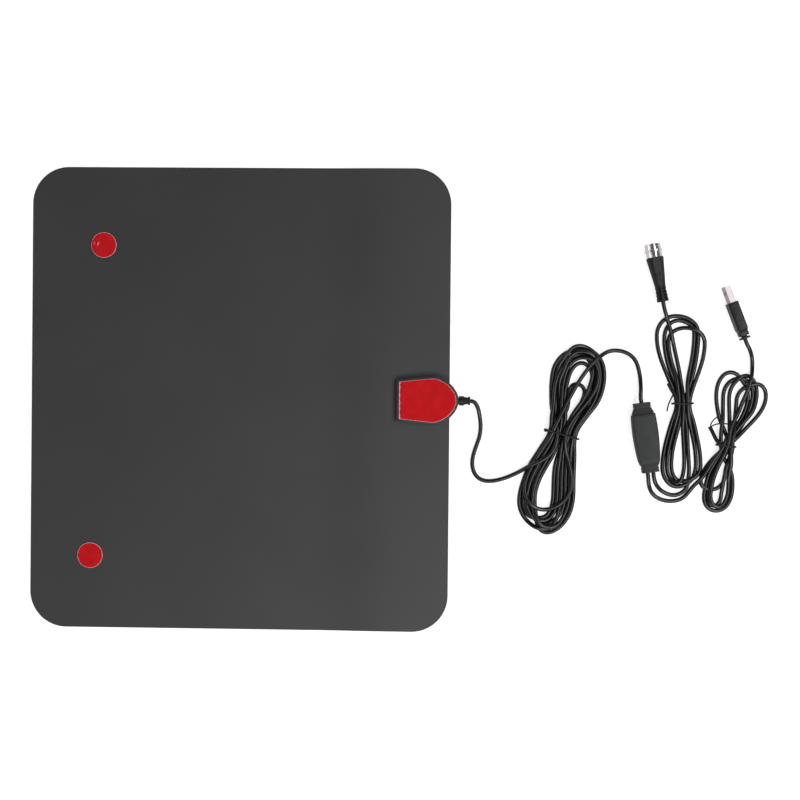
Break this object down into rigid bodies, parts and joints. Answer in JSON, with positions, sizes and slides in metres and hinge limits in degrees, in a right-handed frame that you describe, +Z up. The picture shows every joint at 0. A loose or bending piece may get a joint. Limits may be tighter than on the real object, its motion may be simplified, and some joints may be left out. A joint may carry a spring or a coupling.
{
  "type": "indoor tv antenna",
  "caption": "Flat square indoor TV antenna sheet with junction box, adhesive pads, hanked feed cord, in-line amplifier, coaxial plug with a turning nut, and a power plug.",
  "frame": {"origin": "on the table, under the centre of the sheet, box and gland together", "axes": "+X towards the junction box's nose and the cords, +Y up the sheet, +Z up from the table; the sheet lies face down with its pads up"},
  "size_m": [0.5251, 0.33, 0.0136],
  "materials": {
    "sheet_film": "matt, fine grain",
    "foil": "bright rolled foil, hidden between the films",
    "pad_foam": "foam tape, cut edge",
    "pad_liner": "glossy release film",
    "box_plastic": "moulded, fine texture",
    "board": "solder mask",
    "ferrite": "sintered",
    "chip": "moulded",
    "ceramic_chip": "fired",
    "rivet_metal": "tinned",
    "cord_jacket": "soft polished jacket",
    "gland_plastic": "moulded",
    "tie_plastic": "coated wire",
    "amp_plastic": "moulded, fine texture",
    "boot_plastic": "moulded",
    "power_plastic": "moulded",
    "nickel": "nickel plated, turned",
    "insulator": "natural",
    "contact_metal": "flash plated",
    "shell_steel": "plated sheet steel"
  },
  "bodies": {
    "antenna": {"front_film": "sheet_film", "back_film": "sheet_film", "antenna_foil": "foil", "upper_pad_tape": "pad_foam", "upper_pad_liner": "pad_liner", "lower_pad_tape": "pad_foam", "lower_pad_liner": "pad_liner", "box_pad_tape": "pad_foam", "box_pad_liner": "pad_liner", "box_back_shell": "box_plastic", "box_front_shell": "box_plastic", "balun_board": "board", "balun_core": "ferrite", "foil_rivets": "rivet_metal", "feed_cord_tail": "cord_jacket", "cord_gland": "gland_plastic", "feed_cord_box_run": "cord_jacket", "feed_cord_hank": "cord_jacket", "feed_cord_amp_run": "cord_jacket", "feed_cord_tie": "tie_plastic", "amp_upper_shell": "amp_plastic", "amp_lower_shell": "amp_plastic", "amp_board": "board", "amp_choke": "ferrite", "amp_transistor": "chip", "amp_capacitors": "ceramic_chip", "amp_input_tail": "cord_jacket", "amp_output_tails": "cord_jacket", "tv_cord_amp_run": "cord_jacket", "tv_cord_hank": "cord_jacket", "tv_cord_plug_run": "cord_jacket", "tv_cord_tie": "tie_plastic", "plug_boot": "boot_plastic", "plug_post": "nickel", "plug_insulator": "insulator", "plug_pin": "contact_metal", "power_cord_amp_run": "cord_jacket", "power_cord_hank": "cord_jacket", "power_cord_plug_run": "cord_jacket", "power_cord_tie": "tie_plastic", "power_plug_moulding": "power_plastic", "power_plug_shell": "shell_steel", "power_plug_tongue": "insulator", "power_plug_contacts": "contact_metal"},
    "coupling_nut": {"coupling_nut": "nickel"}
  },
  "joints": [
    {"name": "coupling_nut_spin", "type": "hinge", "parent": "antenna", "child": "coupling_nut", "pos_m": [0.28547, 0.10709, 0.0064], "axis": [-0.1959, 0.9806, 0], "continuous": true}
  ]
}
